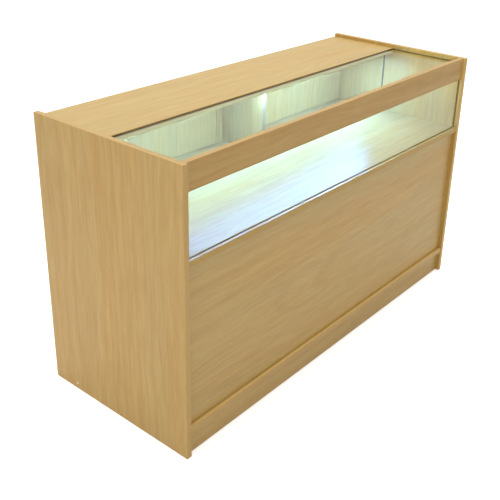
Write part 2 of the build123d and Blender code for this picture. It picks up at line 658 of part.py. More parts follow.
# ================================================================ light
# Slim channel light under the front edge of the service top.
CHANNEL_HALF = 12.0             # half its depth along Y
CHANNEL_Y = (LAMP_Y - CHANNEL_HALF, LAMP_Y + CHANNEL_HALF)
CLIP = 0.8                      # thickness of the clips above the channel
CHANNEL_TOP = TOP_UNDER - CLIP
CHANNEL_Z = TOP_UNDER - 14.0    # open lower side of the channel
LEAD_Z = TOP_UNDER - 8.0        # height at which the cable leaves the light

with BuildPart() as lamp_channel:
    slab(-LAMP_X, LAMP_X, *CHANNEL_Y, CHANNEL_Z, CHANNEL_TOP)
    fillet(lamp_channel.edges().filter_by(Axis.X).group_by(Axis.Z)[-1], radius=1.0)
    slab(-LAMP_X, LAMP_X, LAMP_Y - 10.6, LAMP_Y + 10.6, CHANNEL_Z, TOP_UNDER - 2.4, CUT)
save(lamp_channel, "lamp_channel")

# Diffuser: a thin cover bowed downwards.
COVER_MID = to_y(LAMP_Y)
COVER_FRONT, COVER_REAR = COVER_MID - 10.5, COVER_MID + 10.5
COVER_TOP = TOP_UNDER - 12.4
with BuildPart() as lamp_diffuser:
    with BuildSketch(Plane.YZ.offset(-LAMP_X + 0.2)) as cover_face:
        with BuildLine():
            Line((COVER_FRONT, COVER_TOP), (COVER_FRONT, CHANNEL_Z))
            ThreePointArc(
                (COVER_FRONT, CHANNEL_Z), (COVER_MID, TOP_UNDER - 15.4), (COVER_REAR, CHANNEL_Z)
            )
            Line((COVER_REAR, CHANNEL_Z), (COVER_REAR, COVER_TOP))
            ThreePointArc(
                (COVER_REAR, COVER_TOP), (COVER_MID, TOP_UNDER - 13.9), (COVER_FRONT, COVER_TOP)
            )
        make_face()
    extrude(cover_face.sketch, amount=2 * LAMP_X - 0.4)
save(lamp_diffuser, "lamp_diffuser")

# Light board with its row of emitters.
CHIP = 0.9                      # emitter height
STRIP_Z = TOP_UNDER - 3.8       # underside of the board
with BuildPart() as lamp_board:
    slab(-LAMP_X + 4.0, LAMP_X - 4.0, LAMP_Y - 5.0, LAMP_Y + 5.0, STRIP_Z, TOP_UNDER - 2.6)
    with BuildSketch(Plane.XY.offset(STRIP_Z - CHIP)) as chip_face:
        with Locations((0, to_y(LAMP_Y))):
            with GridLocations(20.0, 1.0, 64, 1):
                Rectangle(3.5, 2.8)
    extrude(chip_face.sketch, amount=CHIP)
save(lamp_board, "lamp_board")

# End caps, the right one with a hole for the cable.
END_CAP = 3.5
with BuildPart() as lamp_end_caps:
    for x in (-LAMP_X - END_CAP, LAMP_X):
        slab(x, x + END_CAP, *CHANNEL_Y, TOP_UNDER - 15.6, CHANNEL_TOP)
    fillet(lamp_end_caps.edges().filter_by(Axis.X), radius=1.0)
    rod_x(LAMP_X - 1.0, LAMP_X + 4.0, [(LAMP_Y, LEAD_Z)], 2.6, CUT)
save(lamp_end_caps, "lamp_end_caps")

# Spring clips that hold the channel up, each with one screw.
CLIP_OUT, CLIP_IN = 12.9, 12.05           # faces of the clip's legs from the centre line
with BuildPart() as lamp_clips:
    for x in CLIP_X:
        clip_x = (x - 9.0, x + 9.0)
        slab(*clip_x, LAMP_Y - CLIP_OUT, LAMP_Y + CLIP_OUT, CHANNEL_TOP, TOP_UNDER)
        slab(*clip_x, LAMP_Y - CLIP_OUT, LAMP_Y - CLIP_IN, TOP_UNDER - 8.0, CHANNEL_TOP)
        slab(*clip_x, LAMP_Y + CLIP_IN, LAMP_Y + CLIP_OUT, TOP_UNDER - 8.0, CHANNEL_TOP)
    rod_z(CHANNEL_TOP, TOP_UNDER, CLIP_SCREWS, HEAD_R + 0.05, CUT)
save(lamp_clips, "lamp_clips")

# ---------------------------------------------------------------- wiring
CABLE_R = 2.4
CABLE_CLIP_R = CABLE_R + 0.05   # bore of the cable clips
WALL_X = INNER_X - 3.5          # drop beside the right end panel
RUN_Z = 598.0                   # run under the deck
ENTRY_Y = 515.0                 # where the cable enters the driver

# Cable: from the light down the end panel, through the deck and into the driver.
with BuildPart() as lamp_cable:
    with BuildLine() as cable_path:
        FilletPolyline(
            (LAMP_X - 1.0, to_y(LAMP_Y), LEAD_Z),
            (WALL_X, to_y(LAMP_Y), LEAD_Z),
            (WALL_X, to_y(LAMP_Y), 668.0),
            (CABLE_X, to_y(LAMP_Y), 648.0),
            (CABLE_X, to_y(LAMP_Y), RUN_Z),
            (CABLE_X, to_y(ENTRY_Y), RUN_Z),
            (DRIVER_X1 - 2.5, to_y(ENTRY_Y), RUN_Z),
            radius=9.0,
        )
    with BuildSketch(Plane(origin=cable_path.line @ 0, z_dir=cable_path.line % 0)) as cable_face:
        Circle(CABLE_R)
    sweep(cable_face.sketch, path=cable_path.line)
save(lamp_cable, "lamp_cable")

# Cable clips: one on the end panel, two on posts under the deck.
with BuildPart() as cable_clips:
    slab(INNER_X - 5.0, INNER_X, LAMP_Y - 4.0, LAMP_Y + 4.0, 684.0, 692.0)
    rod_z(684.0, 692.0, [(WALL_X, LAMP_Y)], 4.0)
    # trim the ring flush with the panel's face
    slab(INNER_X, INNER_X + 6.0, LAMP_Y - 6.0, LAMP_Y + 6.0, 683.0, 693.0, CUT)
    rod_z(683.0, 693.0, [(WALL_X, LAMP_Y)], CABLE_CLIP_R, CUT)
    for y in (395.0, 465.0):
        slab(CABLE_X - 4.0, CABLE_X + 4.0, y - 4.0, y + 4.0, RUN_Z, DECK_UNDER)
        rod_y(y - 4.0, y + 4.0, [(CABLE_X, RUN_Z)], 4.0)
        rod_y(y - 5.0, y + 5.0, [(CABLE_X, RUN_Z)], CABLE_CLIP_R, CUT)
save(cable_clips, "cable_clips")

# Grommet in the deck's cable hole, with a flange above and below.
FLANGE = 1.5
with BuildPart() as cable_grommet:
    hole = [(CABLE_X, LAMP_Y)]
    rod_z(DECK_UNDER - FLANGE, DECK_Z + FLANGE, hole, 6.9)
    rod_z(DECK_Z, DECK_Z + FLANGE, hole, 9.5)
    rod_z(DECK_UNDER - FLANGE, DECK_UNDER, hole, 7.8)
    chamfer(cable_grommet.edges().group_by(Axis.Z)[-1], length=0.5)
    rod_z(DECK_UNDER - 2.0, DECK_Z + 2.0, hole, 3.0, CUT)
save(cable_grommet, "cable_grommet")

# ---------------------------------------------------------------- driver
# Power unit of the light, under the deck at the staff side.
WALL = 2.0                      # thickness of case and base
BASE_Z = DECK_UNDER - WALL      # underside of the base
SWITCH_X = 628.0
INLET_X = 560.0
PORT_Z = 596.5                  # centre height of switch and inlet
PIVOT = (DRIVER_Y1 - 3.0, PORT_Z)
BEZEL = 1.8                     # rims of switch and inlet


def port_block(x, half_wide, half_high, y0, y1, mode=Mode.ADD):
    """Block centred on a port in the rear wall of the case."""
    slab(x - half_wide, x + half_wide, y0, y1, PORT_Z - half_high, PORT_Z + half_high, mode)


# Case: open-topped box with two ports, a cable hole and a row of slots in its floor.
with BuildPart() as driver_case:
    slab(DRIVER_X0, DRIVER_X1, DRIVER_Y0, DRIVER_Y1, DRIVER_Z0, BASE_Z)
    fillet(driver_case.edges().filter_by(Axis.Z), radius=4.0)
    fillet(driver_case.edges().group_by(Axis.Z)[0], radius=1.5)
    slab(
        DRIVER_X0 + WALL, DRIVER_X1 - WALL, DRIVER_Y0 + WALL, DRIVER_Y1 - WALL,
        DRIVER_Z0 + WALL, BASE_Z, CUT,
    )
    port_block(SWITCH_X, 8.1, 11.1, DRIVER_Y1 - WALL, DRIVER_Y1, CUT)
    port_block(INLET_X, 10.1, 6.1, DRIVER_Y1 - WALL, DRIVER_Y1, CUT)
    rod_x(DRIVER_X1 - WALL, DRIVER_X1, [(ENTRY_Y, RUN_Z)], 2.6, CUT)
    for k in range(7):
        x = DRIVER_X0 + 20.0 + 8.0 * k
        slab(x, x + 3.0, DRIVER_Y0 + 12.0, DRIVER_Y1 - 12.0, DRIVER_Z0, DRIVER_Z0 + WALL, CUT)
save(driver_case, "driver_case")

# Base plate with a screw tab at each end.
with BuildPart() as driver_base:
    slab(DRIVER_X0 - TAB, DRIVER_X1 + TAB, TAB_Y0, TAB_Y1, BASE_Z, DECK_UNDER)
    slab(DRIVER_X0, DRIVER_X1, DRIVER_Y0, DRIVER_Y1, BASE_Z, DECK_UNDER)
    fillet(driver_base.edges().filter_by(Axis.Z), radius=2.0)
    points = [(x, y, BASE_Z) for x, y in DRIVER_SCREWS]
    countersink(points, DOWN, radius=1.7, plate=WALL)
save(driver_base, "driver_base")

# Circuit board: two blocks and two cylinders hang below it, four posts stand above.
CIRCUIT_Z = DECK_UNDER - 6.0    # underside of the board
CIRCUIT_TOP = DECK_UNDER - 4.4
TALL_Z = CIRCUIT_Z - 16.0       # lower end of the taller block and the cylinders
with BuildPart() as driver_board:
    x, y = DRIVER_X0, DRIVER_Y0
    slab(x + 6.0, DRIVER_X1 - 6.0, y + 4.0, DRIVER_Y1 - 20.0, CIRCUIT_Z, CIRCUIT_TOP)
    slab(x + 40.0, x + 64.0, y + 5.0, y + 23.0, TALL_Z, CIRCUIT_Z)
    rod_z(TALL_Z, CIRCUIT_Z, [(x + 84.0, y + 14.0), (x + 98.0, y + 14.0)], 5.0)
    slab(x + 12.0, x + 30.0, y + 6.0, y + 18.0, CIRCUIT_Z - 8.0, CIRCUIT_Z)
    for post_x in (x + 9.0, DRIVER_X1 - 24.0):
        rod_z(CIRCUIT_TOP, BASE_Z, [(post_x, y + 8.0), (post_x, DRIVER_Y1 - 24.0)], 2.0)
save(driver_board, "driver_board")

with BuildPart() as switch_frame:
    port_block(SWITCH_X, 10.0, 12.8, DRIVER_Y1, DRIVER_Y1 + BEZEL)
    fillet(switch_frame.edges().filter_by(Axis.Y), radius=1.5)
    port_block(SWITCH_X, 8.0, 11.0, DRIVER_Y1 - 10.0, DRIVER_Y1)
    port_block(SWITCH_X, 6.2, 9.6, DRIVER_Y1 - 8.5, DRIVER_Y1 + BEZEL, CUT)
    rod_x(SWITCH_X - 7.4, SWITCH_X + 7.4, [PIVOT], 1.26, CUT)
save(switch_frame, "switch_frame")

# Rocker on its two trunnions, at rest tilted to one side.
with BuildPart() as switch_rocker:
    with BuildSketch(Plane.YZ.offset(SWITCH_X - 6.0)) as rocker_face:
        with Locations((to_y(PIVOT[0]), PIVOT[1])):
            with Locations(Rotation(0, 0, -8)):
                # outline about the pivot as (y, z)
                Polygon(
                    (-4.0, -7.2), (4.6, -8.0), (3.1, 0.0), (4.6, 8.0), (-4.0, 7.2), align=None
                )
    extrude(rocker_face.sketch, amount=12.0)
    rod_x(SWITCH_X - 7.2, SWITCH_X + 7.2, [PIVOT], 1.2)
save(switch_rocker, "switch_rocker")

# Mains inlet: shrouded two-pin socket for a plug-in lead.
with BuildPart() as mains_inlet:
    port_block(INLET_X, 13.0, 8.5, DRIVER_Y1, DRIVER_Y1 + BEZEL)
    fillet(mains_inlet.edges().filter_by(Axis.Y), radius=1.5)
    port_block(INLET_X, 10.0, 6.0, DRIVER_Y1 - 14.0, DRIVER_Y1)
    with BuildSketch(Plane.XZ.offset(-to_y(DRIVER_Y1 + BEZEL))) as inlet_face:
        with Locations((INLET_X, PORT_Z)):
            SlotOverall(16.4, 8.4)
    extrude(inlet_face.sketch, amount=12.0, mode=CUT)
    rod_y(DRIVER_Y1 - 10.5, DRIVER_Y1, [(INLET_X - 4.0, PORT_Z), (INLET_X + 4.0, PORT_Z)], 1.2)
save(mains_inlet, "mains_inlet")

# Screws of the fixed hinge leaves, strike plates, light clips and driver. Those of
# the clips have flat heads as thick as the clip.
with BuildPart() as board_screws:
    rod_z(DECK_Z - SCREW_LENGTH, DECK_Z, DECK_SCREWS, SCREW_R)
    screw_heads([(x, y, DECK_Z + HEAD_HIGH / 2) for x, y in DECK_SCREWS], UP)
    for spots, z, plate in (
        (STRIKE_SCREWS, TOP_UNDER, STRIKE),
        (CLIP_SCREWS, TOP_UNDER, CLIP),
        (DRIVER_SCREWS, DECK_UNDER, WALL),
    ):
        rod_z(z, z + SCREW_LENGTH, spots, SCREW_R)
        if plate > HEAD_HIGH:
            rod_z(z - plate + HEAD_HIGH, z, spots, SCREW_R)
            screw_heads([(x, y, z - plate + HEAD_HIGH / 2) for x, y in spots], DOWN)
        else:
            rod_z(z - plate, z, spots, HEAD_R)
save(board_screws, "board_screws")
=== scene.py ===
import math

import bpy
from mathutils import Matrix, Vector


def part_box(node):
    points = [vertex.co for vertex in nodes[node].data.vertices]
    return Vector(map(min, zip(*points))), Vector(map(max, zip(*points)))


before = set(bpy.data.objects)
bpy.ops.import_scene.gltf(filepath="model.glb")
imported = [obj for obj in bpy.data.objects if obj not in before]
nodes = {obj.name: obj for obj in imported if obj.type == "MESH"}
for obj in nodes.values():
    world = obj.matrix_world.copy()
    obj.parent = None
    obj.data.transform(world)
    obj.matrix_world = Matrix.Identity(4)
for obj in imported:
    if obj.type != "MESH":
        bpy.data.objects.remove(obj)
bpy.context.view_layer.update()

scene = bpy.context.scene


# ---------------------------------------------------------------- node helpers
class Tree:
    """A material's node tree with one short call per node. Every call takes numbers, tuples or sockets."""

    def __init__(self, name):
        self.mat = bpy.data.materials.new(name)
        self.mat.use_nodes = True
        self.nt = self.mat.node_tree
        self.nt.nodes.clear()
        self.out = self.nt.nodes.new("ShaderNodeOutputMaterial")

    def put(self, socket, value):
        if value is None:
            return
        if isinstance(value, bpy.types.NodeSocket):
            self.nt.links.new(value, socket)
        elif isinstance(value, (tuple, list)) and len(value) == 3 and socket.type == "RGBA":
            socket.default_value = (*value, 1.0)
        else:
            socket.default_value = value

    def node(self, kind, inputs=(), **props):
        n = self.nt.nodes.new(kind)
        for k, v in props.items():
            setattr(n, k, v)
        for k, v in dict(inputs).items():
            self.put(n.inputs[k], v)
        return n

    def math(self, op, a, b=None, c=None, clamp=False):
        n = self.node("ShaderNodeMath", operation=op, use_clamp=clamp)
        for s, v in zip(n.inputs, (a, b, c)):
            self.put(s, v)
        return n.outputs[0]

    def add(self, a, b): return self.math("ADD", a, b)
    def sub(self, a, b): return self.math("SUBTRACT", a, b)
    def mul(self, a, b): return self.math("MULTIPLY", a, b)

    def step(self, value, lo, hi, out0=0.0, out1=1.0, smooth=True):
        n = self.node("ShaderNodeMapRange", interpolation_type="SMOOTHSTEP" if smooth else "LINEAR", clamp=True)
        for s, v in zip(n.inputs, (value, lo, hi, out0, out1)):
            self.put(s, v)
        return n.outputs[0]

    def vec(self, x, y, z):
        n = self.node("ShaderNodeCombineXYZ")
        for s, v in zip(n.inputs, (x, y, z)):
            self.put(s, v)
        return n.outputs[0]

    def split(self, v):
        n = self.node("ShaderNodeSeparateXYZ")
        self.put(n.inputs[0], v)
        return n.outputs

    def noise(self, vector, scale=1.0, detail=2.0, rough=0.5, distort=0.0):
        n = self.node("ShaderNodeTexNoise", {"Vector": vector, "Scale": scale, "Detail": detail, "Roughness": rough, "Distortion": distort})
        return n.outputs[0]

    def cells(self, vector, scale, feature="F1", which="Distance", randomness=1.0):
        n = self.node("ShaderNodeTexVoronoi", {"Vector": vector, "Scale": scale, "Randomness": randomness}, feature=feature)
        return n.outputs[which]

    def mix(self, fac, a, b, blend="MIX"):
        n = self.node("ShaderNodeMix", data_type="RGBA", blend_type=blend, clamp_factor=True)
        self.put(n.inputs[0], fac)
        self.put(n.inputs[6], a)
        self.put(n.inputs[7], b)
        return n.outputs[2]

    def mixf(self, fac, a, b):
        n = self.node("ShaderNodeMix", data_type="FLOAT", clamp_factor=True)
        self.put(n.inputs[0], fac)
        self.put(n.inputs[2], a)
        self.put(n.inputs[3], b)
        return n.outputs[0]

    def ramp(self, fac, stops, interpolation="LINEAR"):
        n = self.node("ShaderNodeValToRGB", {"Fac": fac})
        n.color_ramp.interpolation = interpolation
        el = n.color_ramp.elements
        while len(el) < len(stops):
            el.new(0.5)
        for e, (p, c) in zip(el, stops):
            e.position = p
            e.color = (*c, 1.0) if len(c) == 3 else c
        return n.outputs[0]

    def scale_colour(self, colour, fac):
        """colour times a number."""
        n = self.node("ShaderNodeVectorMath", {"Vector": colour, "Scale": fac}, operation="SCALE")
        self.put(n.inputs[0], colour)
        return n.outputs[0]

    def coord(self):
        return self.node("ShaderNodeTexCoord").outputs["Object"]

    def normal(self):
        return self.node("ShaderNodeTexCoord").outputs["Normal"]

    def island(self):
        return self.node("ShaderNodeNewGeometry").outputs["Random Per Island"]

    def bump(self, height, distance, strength=1.0):
        return self.node("ShaderNodeBump", {"Height": height, "Distance": distance, "Strength": strength}).outputs[0]

    def surface(self, colour, rough=0.5, metal=0.0, normal=None, **more):
        p = self.node("ShaderNodeBsdfPrincipled", {"Base Color": colour, "Roughness": rough, "Metallic": metal})
        if normal is not None:
            self.put(p.inputs["Normal"], normal)
        for k, v in more.items():
            self.put(p.inputs[k.replace("_", " ")], v)
        self.nt.links.new(p.outputs[0], self.out.inputs["Surface"])
        return self.mat


def give(node, mat):
    """The node keeps its CAD mesh and gets this material in every slot."""
    ob = nodes[node]
    if not ob.material_slots:
        ob.data.materials.append(mat)
    for s in ob.material_slots:
        s.material = mat


# ---------------------------------------------------------------- wood-effect boards
AX = "xyz"
TAN = (0.490, 0.315, 0.094)      # plain tone of the print
ORANGE = (0.502, 0.308, 0.082)   # warm areas
OLIVE = (0.474, 0.318, 0.102)    # cool areas
STREAK = (0.055, 0.098, 0.185)   # light streaks are greyer and dark ones redder, by these shares of the tone under them
LINE = (0.392, 0.228, 0.058)     # growth lines
FLECK = (0.300, 0.165, 0.044)    # short rays


def board(node, grain, thick, seed, tone=1.0, warm=0.0, figure=1.4, rough=0.42, spec=0.5, sheen=(1.0, 1.0, 1.0), relief=0.8):
    """Melamine-faced chipboard: a printed wood face along `grain`, edge strips round it, and raw core wherever the surface lies
    inside the board's own box (grooves, bores, housings)."""
    t = Tree("laminate_" + node)
    lo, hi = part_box(node)
    g, w = AX.index(grain), AX.index(thick)
    a = 3 - g - w
    p = t.split(t.coord())
    n = t.split(t.normal())
    u, v, d = p[g], p[a], p[w]
    nu, nw = t.math("ABSOLUTE", n[g]), n[w]
    face = t.step(t.math("ABSOLUTE", nw), 0.60, 0.80)
    end = t.step(nu, 0.60, 0.80)
    side = t.math("GREATER_THAN", nw, 0.0)
    # along and across the print, on faces, long edges and end edges
    along = t.mixf(face, t.mixf(end, u, t.add(v, 4.1)), u)
    across = t.mixf(face, t.add(d, 7.3), v)
    layer = t.add(t.mul(side, 3.7), t.mixf(face, 21.0 + seed, 9.0 + seed * 1.7))

    def field(su, sv, k, detail, roughness=0.5, vv=None, distort=0.0):
        return t.noise(t.vec(t.mul(along, su), t.mul(vv if vv is not None else across, sv), t.add(layer, k)), 1.0, detail, roughness, distort)

    sway = t.mul(t.sub(field(1.3, 4.0, 0.0, 2.0), 0.5), 0.060)
    sway2 = t.mul(t.sub(field(6.0, 16.0, 2.0, 2.0), 0.5), 0.020)
    va = t.add(across, t.add(sway, sway2))
    broad = field(0.7, 9.0, 11.0, 2.0, 0.5, va)
    streak = field(3.0, 74.0, 23.0, 3.0, 0.55, va)
    thin = field(3.4, 240.0, 31.0, 3.0, 0.6, va)
    hair = field(7.0, 900.0, 37.0, 2.0, 0.5, va)
    # cathedral figure: contour lines of a smooth, long field
    hill = field(0.62, 4.6, 41.0, 1.0, 0.35, va)
    turns = t.mul(hill, 2 * math.pi * 19.0)
    ring = t.step(t.math("SINE", t.add(turns, t.mul(thin, 1.6))), 0.25, 1.0)
    where = t.step(field(0.7, 5.0, 47.0, 1.0), 0.44, 0.60)
    # short rays, as in beech
    ray_noise = t.noise(t.vec(t.mul(along, 150.0), t.mul(across, 1150.0), t.add(layer, 53.0)), 1.0, 1.0, 0.4)
    rays = t.mul(t.step(ray_noise, 0.63, 0.72), t.step(field(9.0, 26.0, 59.0, 2.0), 0.42, 0.62))

    colour = t.ramp(broad, [(0.32, ORANGE), (0.50, TAN), (0.68, OLIVE)], "EASE")
    band = field(1.6, 30.0, 17.0, 2.0, 0.5, va)
    lens = field(13.0, 130.0, 67.0, 2.0, 0.5, va)
    mixed = t.add(t.add(t.mul(band, 0.22), t.mul(lens, 0.30)), t.add(t.mul(streak, 0.34), t.mul(thin, 0.14)))
    dark, light = (tuple(1.0 + k * figure * x for x in STREAK) for k in (-1.0, 1.0))
    colour = t.mix(1.0, colour, t.ramp(mixed, [(0.37, dark), (0.63, light)], "LINEAR"), "MULTIPLY")
    colour = t.mix(t.step(thin, 0.56, 0.78, 0.0, 0.22), colour, LINE)
    colour = t.mix(t.mul(t.mul(ring, where), 0.22), colour, LINE)
    colour = t.mix(t.mul(rays, 0.45), colour, FLECK)
    colour = t.scale_colour(colour, t.mul(t.step(hair, 0.2, 0.8, 0.972, 1.028, False), tone))
    if warm:  # warmth per board; the bluer shift on the deck and divider inside the showcase is painted lamp light
        colour = t.mix(1.0, colour, (1.0, 1.0 - 0.3 * warm, 1.0 - warm), "MULTIPLY")
    if node == "service_top":
        colour = t.mix(1.0, colour, (0.96, 1.0, 0.985), "MULTIPLY")
    if node == "right_end_panel":  # painted lamp light: the inner face is made paler and bluer high up inside the showcase, toward the front
        painted_lamp_light = t.mul(t.mul(face, t.sub(1.0, side)), t.mul(t.step(p[2], 0.68, 0.80), t.step(p[1], 0.04, -0.10)))
        colour = t.mix(painted_lamp_light, colour, t.scale_colour(t.mix(1.0, colour, (0.84, 0.93, 1.0), "MULTIPLY"), 1.53))

    # distance to the board's own box, in each direction
    gaps = [t.math("MINIMUM", t.sub(p[i], lo[i]), t.sub(hi[i], p[i])) for i in range(3)]
    deep = t.math("MINIMUM", t.math("MINIMUM", gaps[0], gaps[1]), gaps[2])
    raw = t.step(deep, 0.0009, 0.0013)
    # the 1 mm edge strip shows on the face as a hairline joint, and is a touch duller along its arris
    joint_d = t.math("MINIMUM", gaps[g], gaps[a])
    joint = t.mul(face, t.mul(t.step(joint_d, 0.00085, 0.00098), t.step(joint_d, 0.00124, 0.00110)))
    arris = t.mul(t.step(t.math("ABSOLUTE", nw), 0.10, 0.45), t.step(t.math("ABSOLUTE", nw), 0.97, 0.75))
    colour = t.mix(t.mul(joint, 0.35), colour, (0.27, 0.15, 0.05))
    strip = t.mul(t.sub(1.0, face), t.sub(1.0, arris))
    colour = t.mix(t.mul(strip, 0.20 if node == "bottom_shelf" else 0.75), colour, (0.490, 0.300, 0.080))
    if node == "bottom_shelf":  # painted highlight: the front part of the ledge's top is painted paler, as if lit
        colour = t.mix(t.mul(t.mul(face, side), t.step(t.sub(p[a], lo[a]), 0.0120, 0.0045)), colour, t.mix(hair, (0.80, 0.545, 0.185), (0.84, 0.58, 0.205)))
    if node == "lower_front_panel":  # painted light: the panel is brightened toward its foot, where it meets the ledge, to cancel the shade there
        colour = t.scale_colour(colour, t.step(t.sub(p[a], lo[a]), 0.030, 0.0, 1.0, 1.12))
    # painted shade: the divider's edge strips are darker and greyer, toning down the lamp's light on them
    if node == "display_divider":
        colour = t.mix(t.mul(strip, 0.85), colour, (0.270, 0.215, 0.113))
    if node == "right_end_panel":
        colour = t.mix(t.mul(strip, 0.75), colour, (0.545, 0.336, 0.048))
    if node == "service_top":  # painted light: below the glass the front edge's lower lip is painted pale, standing in for the lamp's glow there
        colour = t.mix(t.mul(t.step(p[2], 0.8786, 0.8790, 1.0, 0.0), t.step(p[1], lo[1] + 0.0010, lo[1] + 0.0014, 1.0, 0.0)), colour,
                       t.mix(hair, (0.82, 0.775, 0.43), (0.77, 0.725, 0.39)))
    # raw chipboard core
    chip = t.node("ShaderNodeTexVoronoi", {"Vector": t.vec(t.mul(p[0], 1.0), t.mul(p[1], 1.0), t.mul(p[2], 1.3)), "Scale": 420.0}, feature="F1")
    core = t.ramp(chip.outputs["Color"], [(0.15, (0.290, 0.180, 0.080)), (0.5, (0.410, 0.270, 0.125)), (0.85, (0.540, 0.385, 0.205))])
    if node == "service_top":
        core = t.mix(1.0, core, (1.0, 0.88, 0.55), "MULTIPLY")
    colour = t.mix(raw, colour, core)

    bump_fine = t.add(t.mul(rays, -0.6), t.add(t.mul(thin, -0.35), t.mul(hair, 0.25)))
    height = t.mixf(raw, bump_fine, t.mul(chip.outputs["Distance"], 6.0))
    normal = t.bump(height, 0.00006, relief)
    r = t.add(rough, t.add(t.mul(t.sub(thin, 0.5), 0.16), t.mul(rays, 0.10)))
    r = t.mixf(arris, r, rough - 0.08)
    r = t.mixf(raw, r, 0.92)
    if node == "display_deck":  # its print shows in the gloss as well
        spec = t.mul(t.step(mixed, 0.38, 0.62, 0.84, 1.16, False), spec)
    return t.surface(colour, r, 0.0, normal, Specular_IOR_Level=spec, Specular_Tint=(*sheen, 1.0))


BOARDS = {  # node: (grain, thickness, seed)
    "left_end_panel": ("z", "x", 1.0), "right_end_panel": ("z", "x", 2.3),
    "service_top": ("x", "z", 3.1), "fascia_rail": ("x", "y", 4.4), "display_deck": ("x", "z", 5.2),
    "lower_front_panel": ("x", "y", 6.7), "bottom_shelf": ("x", "z", 7.9), "front_plinth": ("x", "y", 8.3),
    "rear_plinth": ("x", "y", 9.6), "storage_partition": ("z", "x", 10.2), "display_divider": ("z", "x", 11.5),
    "centre_post": ("z", "y", 12.8), "left_storage_shelf": ("x", "z", 13.1), "right_storage_shelf": ("x", "z", 14.6),
    "left_flap": ("z", "y", 15.9), "right_flap": ("z", "y", 16.4),
}
BOARD_TONE_AND_LAMP_TINT = {  # tone, warmth and strength of the streaks where a board differs from the rest; the tone and warmth of the deck, flaps, divider and right end panel inside the showcase are painted lamp light
    "left_end_panel": (0.98, 0.14, 1.6), "fascia_rail": (0.895, 0.31, 1.8), "lower_front_panel": (1.01, 0.0, 1.2), "bottom_shelf": (1.02, 0.0, 1.4),
    "front_plinth": (1.02, 0.0, 1.4), "left_flap": (1.07, -0.02, 2.2), "right_flap": (1.07, -0.02, 2.2), "display_divider": (0.88, -0.15, 1.8),
    "centre_post": (1.0, 0.0, 2.2), "display_deck": (0.85, -0.32, 1.9), "right_end_panel": (1.06, 0.0, 1.8), "service_top": (1.03, 0.02, 1.6),
}
for name, (grain, thick, seed) in BOARDS.items():
    tone, warm, figure = BOARD_TONE_AND_LAMP_TINT.get(name, (1.0, 0.0, 1.4))
    gloss = {"display_deck": dict(rough=0.31, spec=0.167, sheen=(0.67, 1.0, 0.745), relief=0.12), "display_divider": dict(rough=0.36, spec=0.9)}.get(name, {})
    give(name, board(name, grain, thick, seed, tone, warm, figure, **gloss))


# ---------------------------------------------------------------- glass
def glass(node, thick, tint, edge_tint, share):
    """Clear float glass as a pane: it lets straight through, mirrors by angle on both faces together, and its polished edges
    are green. `share` is the part of the full mirror that the surroundings fill."""
    t = Tree("float_glass_" + node)
    n = t.split(t.normal())
    big = t.step(t.math("ABSOLUTE", n[AX.index(thick)]), 0.6, 0.8)
    geo = t.node("ShaderNodeNewGeometry")
    back = geo.outputs["Backfacing"]
    c = t.coord()
    smear = t.noise(c, 7.0, 4.0, 0.6, 0.8)
    fres = t.node("ShaderNodeFresnel", {"IOR": 1.5}).outputs[0]
    both = t.math("DIVIDE", t.mul(fres, 2.0), t.add(fres, 1.0))
    mirror = t.mul(t.mul(both, t.sub(1.0, back)), t.step(smear, 0.3, 0.7, share * 0.92, share))
    clear = t.node("ShaderNodeBsdfTransparent", {"Color": t.mix(big, edge_tint, tint)})
    gloss = t.node("ShaderNodeBsdfGlossy", {"Color": (1.0, 1.0, 1.0), "Roughness": t.step(smear, 0.35, 0.75, 0.0, 0.035)})
    pane = t.node("ShaderNodeMixShader", {0: mirror, 1: clear.outputs[0], 2: gloss.outputs[0]})
    t.nt.links.new(pane.outputs[0], t.out.inputs["Surface"])
    return t.mat


give("top_glass", glass("top_glass", "z", (0.965, 0.990, 0.975), (0.90, 0.97, 0.93), 0.38))
give("front_glass", glass("front_glass", "y", (0.965, 0.990, 0.975), (0.90, 0.97, 0.93), 0.50))


# ---------------------------------------------------------------- metals
def metal(name, colour, rough, dull=0.12, grain=None, bump=0.00002, tint=None, speck=0.0):
    """Plated or cast metal with drawn marks along `grain`, cloudy roughness and a slightly different tone per piece."""
    t = Tree(name)
    c = t.coord()
    p = t.split(c)
    stretch = [520.0, 520.0, 520.0]
    if grain:
        stretch[AX.index(grain)] = 26.0
    lines = t.noise(t.vec(*[t.mul(p[i], stretch[i]) for i in range(3)]), 1.0, 3.0, 0.6)
    cloud = t.noise(c, 46.0, 4.0, 0.6, 0.4)
    col = t.mix(t.step(cloud, 0.3, 0.75), colour, tint or tuple(x * 0.90 for x in colour))
    col = t.scale_colour(col, t.mul(t.step(t.island(), 0.0, 1.0, 0.95, 1.04, False), t.step(lines, 0.2, 0.8, 0.965, 1.03, False)))
    if speck:
        pits = t.step(t.noise(c, 900.0, 2.0, 0.5), 0.60, 0.74)
        col = t.scale_colour(col, t.step(pits, 0.0, 1.0, 1.0, 1.0 - speck, False))
    r = t.add(t.add(rough - dull / 2, t.mul(cloud, dull)), t.mul(t.sub(lines, 0.5), 0.10))
    return t.surface(col, r, 1.0, t.bump(lines, bump, 0.9))


